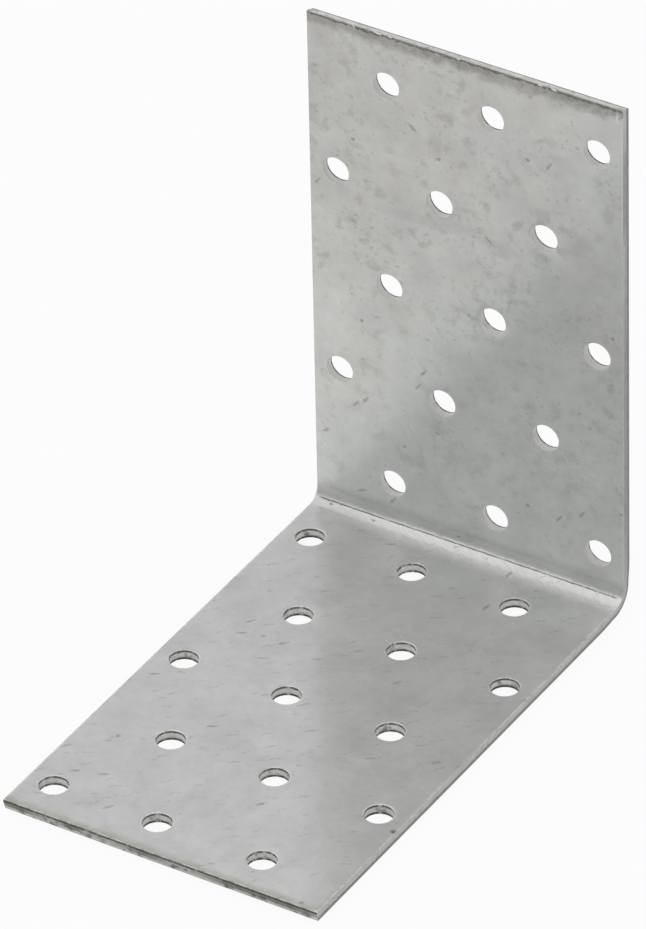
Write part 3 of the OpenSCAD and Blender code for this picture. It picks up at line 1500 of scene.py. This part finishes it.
@dataclass
class Bracket:
    """The whole object: one strip and its finishes, in the order of the mesh's slots."""

    strip: Strip = field(default_factory=Strip)
    zinc: ZincFinish = ZincFinish(
        dark_marks=(MarkSet("Dark specks", SPECKS), MarkSet("Dark dashes", DASHES),
                    MarkSet("Smudges", SMUDGES), MarkSet("Streaks", STREAKS),
                    MarkSet("Pits", PITS)),
        pale_marks=(MarkSet("Chips", CHIPS),))
    front_end: CutFinish = CutFinish(
        "front_end", (0.40, 0.395, 0.37, 1.0), (0.52, 0.515, 0.50, 1.0),
        CutBands(split=0.65, line_depth=1.86, line_width=0.40), upper_line=0.92, foot=0.1,
        mottle=0.5, flecks=0.8, stretches=(MarkSet("Dark stretches", DARK_STRETCHES, 1.0, 1.2),),
        stretch=(0.16, 0.155, 0.13, 1.0), stretch_upper=True)
    top_end: CutFinish = CutFinish(
        "top_end", (0.56, 0.555, 0.54, 1.0), (0.40, 0.395, 0.38, 1.0),
        CutBands(split=0.6, foot_width=0.5), upper_line=0.1, foot=0.5, mottle=0.45, flecks=0.5)
    sides: CutFinish = CutFinish(
        "slit_side", (0.44, 0.435, 0.425, 1.0), (0.25, 0.245, 0.235, 1.0),
        CutBands(split=0.75), upper_line=0.0, foot=0.3, mottle=0.25,
        stretches=(MarkSet("Side stretches", SIDE_STRETCHES, 1.0, 1.2),),
        stretch=(0.27, 0.265, 0.26, 1.0))
    base_wall: CutFinish = CutFinish(
        "base_wall", (0.58, 0.575, 0.55, 1.0), (0.52, 0.515, 0.485, 1.0),
        CutBands(line_depth=1.80, line_width=0.42, foot_width=0.55), upper_line=0.9, foot=1.0,
        mottle=0.4, flecks=0.7)
    upright_wall: CutFinish = CutFinish(
        "upright_wall", (0.50, 0.495, 0.475, 1.0), (0.52, 0.515, 0.49, 1.0),
        CutBands(split=0.5, foot_width=0.42), upper_line=0.0, foot=1.0, mottle=0.2, flecks=0.15)

    def build(self) -> bpy.types.Object:
        """Builds the strip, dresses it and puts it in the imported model's place.

        Returns:
            The bracket.
        """
        piece = self.strip.build()
        finishes = (self.zinc, self.front_end, self.top_end, self.sides, self.base_wall,
                    self.upright_wall)
        for finish in finishes:
            piece.data.materials.append(finish.dress())
        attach(piece, BODY)
        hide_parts(NODE)
        return piece


def heading(azimuth: float, elevation: float) -> Vector:
    """Gives the direction from the bracket to something round it.

    Args:
        azimuth: Turn from the front towards the right, in degrees.
        elevation: Angle above the floor, in degrees.

    Returns:
        The direction, of length 1.
    """
    turn = math.radians(azimuth)
    rise = math.radians(elevation)
    return Vector((math.sin(turn) * math.cos(rise), -math.cos(turn) * math.cos(rise),
                   math.sin(rise)))


@dataclass(frozen=True)
class Lamp:
    """A square lamp that looks at the bracket. Metres, watts and degrees."""

    name: str = "top_lamp"
    azimuth: float = -35.0
    elevation: float = 72.0
    distance: float = 2.6
    size: float = 3.0
    power: float = 8.0

    def hang(self) -> None:
        """Hangs the lamp."""
        way = heading(self.azimuth, self.elevation)
        lamp = bpy.data.lights.new(self.name, "AREA")
        lamp.shape = "SQUARE"
        lamp.size = self.size
        lamp.energy = self.power
        hung = bpy.data.objects.new(self.name, lamp)
        hung.location = way * self.distance
        hung.rotation_euler = way.to_track_quat("Z", "Y").to_euler()
        bpy.context.scene.collection.objects.link(hung)


@dataclass(frozen=True)
class Studio:
    """A white floor, a white world and a soft lamp. Sizes are in metres."""

    floor_size: float = 6.0
    floor_drop: float = 0.0002
    floor_glow: float = 0.92
    sky_level: float = 0.78
    white: Colour = (1.0, 1.0, 1.0, 1.0)
    floor_grey: Colour = (0.8, 0.8, 0.8, 1.0)
    lamp: Lamp = Lamp()

    def build(self) -> None:
        """Builds the floor, the world and the lamp."""
        self.lay_floor()
        self.light_world()
        self.lamp.hang()

    def seen_directly(self, board: Board) -> Value:
        """Tells rays that show the background from rays that light the object."""
        path = board.add("ShaderNodeLightPath")
        rays = ("Is Camera Ray", "Is Glossy Ray", "Is Transmission Ray")
        camera, glossy, passed = (Value(board, path.outputs[ray]) for ray in rays)
        return camera.or_more(glossy).or_more(passed)

    def lay_floor(self) -> None:
        """Lays a pale floor just under the bracket, which keeps a faint shadow."""
        half = self.floor_size / 2
        corners = [(-half, -half, 0), (half, -half, 0), (half, half, 0), (-half, half, 0)]
        mesh = bpy.data.meshes.new("floor")
        mesh.from_pydata(corners, [], [(0, 1, 2, 3)])
        floor = bpy.data.objects.new("floor", mesh)
        floor.location.z = -self.floor_drop
        bpy.context.scene.collection.objects.link(floor)
        material = bpy.data.materials.new("pale_floor")
        material.use_nodes = True
        board = Board(material.node_tree)
        material.node_tree.nodes.clear()
        matt = board.get("ShaderNodeBsdfDiffuse", {"Color": self.floor_grey})
        glow = board.get("ShaderNodeEmission", {"Color": self.white, "Strength": 1.0})
        share = self.seen_directly(board) * self.floor_glow
        mix = board.get("ShaderNodeMixShader", {0: share, 1: matt, 2: glow})
        board.add("ShaderNodeOutputMaterial", {0: mix})
        mesh.materials.append(material)

    def light_world(self) -> None:
        """Makes the world white where it is seen, and a little lower where it only lights."""
        world = bpy.data.worlds.new("studio")
        bpy.context.scene.world = world
        world.use_nodes = True
        board = Board(world.node_tree)
        world.node_tree.nodes.clear()
        level = board.step(self.seen_directly(board), 0.0, 1.0, self.sky_level, 1.0)
        sky = board.get("ShaderNodeBackground", {"Color": self.white, "Strength": level})
        board.add("ShaderNodeOutputWorld", {0: sky})


@dataclass(frozen=True)
class PhotoCamera:
    """The photograph's camera, as fitted to the holes and the outline. Metres and degrees."""

    aim: tuple[float, float, float] = (0.00139, 0.00022, 0.04921)
    distance: float = 1.7290
    azimuth: float = 32.228
    elevation: float = 35.381
    roll: float = -1.270
    lens: float = 412.643
    near: float = 0.1
    far: float = 20.0

    def build(self) -> None:
        """Sets the camera up as the scene's own."""
        turn = math.radians(self.azimuth)
        lean = math.radians(self.roll)
        back = heading(self.azimuth, self.elevation)
        level = Vector((math.cos(turn), math.sin(turn), 0.0))
        upward = back.cross(level)
        right = level * math.cos(lean) + upward * math.sin(lean)
        above = back.cross(right)
        place = Vector(self.aim) + back * self.distance
        lens = bpy.data.cameras.new("photo_camera")
        lens.lens = self.lens
        lens.clip_start = self.near
        lens.clip_end = self.far
        camera = bpy.data.objects.new("photo_camera", lens)
        rows = Matrix((right, above, back)).transposed().to_4x4()
        camera.matrix_world = Matrix.Translation(place) @ rows
        bpy.context.scene.collection.objects.link(camera)
        bpy.context.scene.camera = camera


def main() -> None:
    """Builds the scene in order and reports each piece."""
    logging.basicConfig(level=logging.INFO, format="%(message)s")
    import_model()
    PhotoCamera().build()
    LOG.info("camera set")
    Studio().build()
    LOG.info("floor, world and lamp set")
    piece = Bracket().build()
    count = sum(len(face.vertices) - 2 for face in piece.data.polygons)
    LOG.info("%s: %d triangles, rides on %s", piece.name, count, BODY)
    bpy.context.scene.view_settings.view_transform = "Standard"


if __name__ == "__main__":
    main()
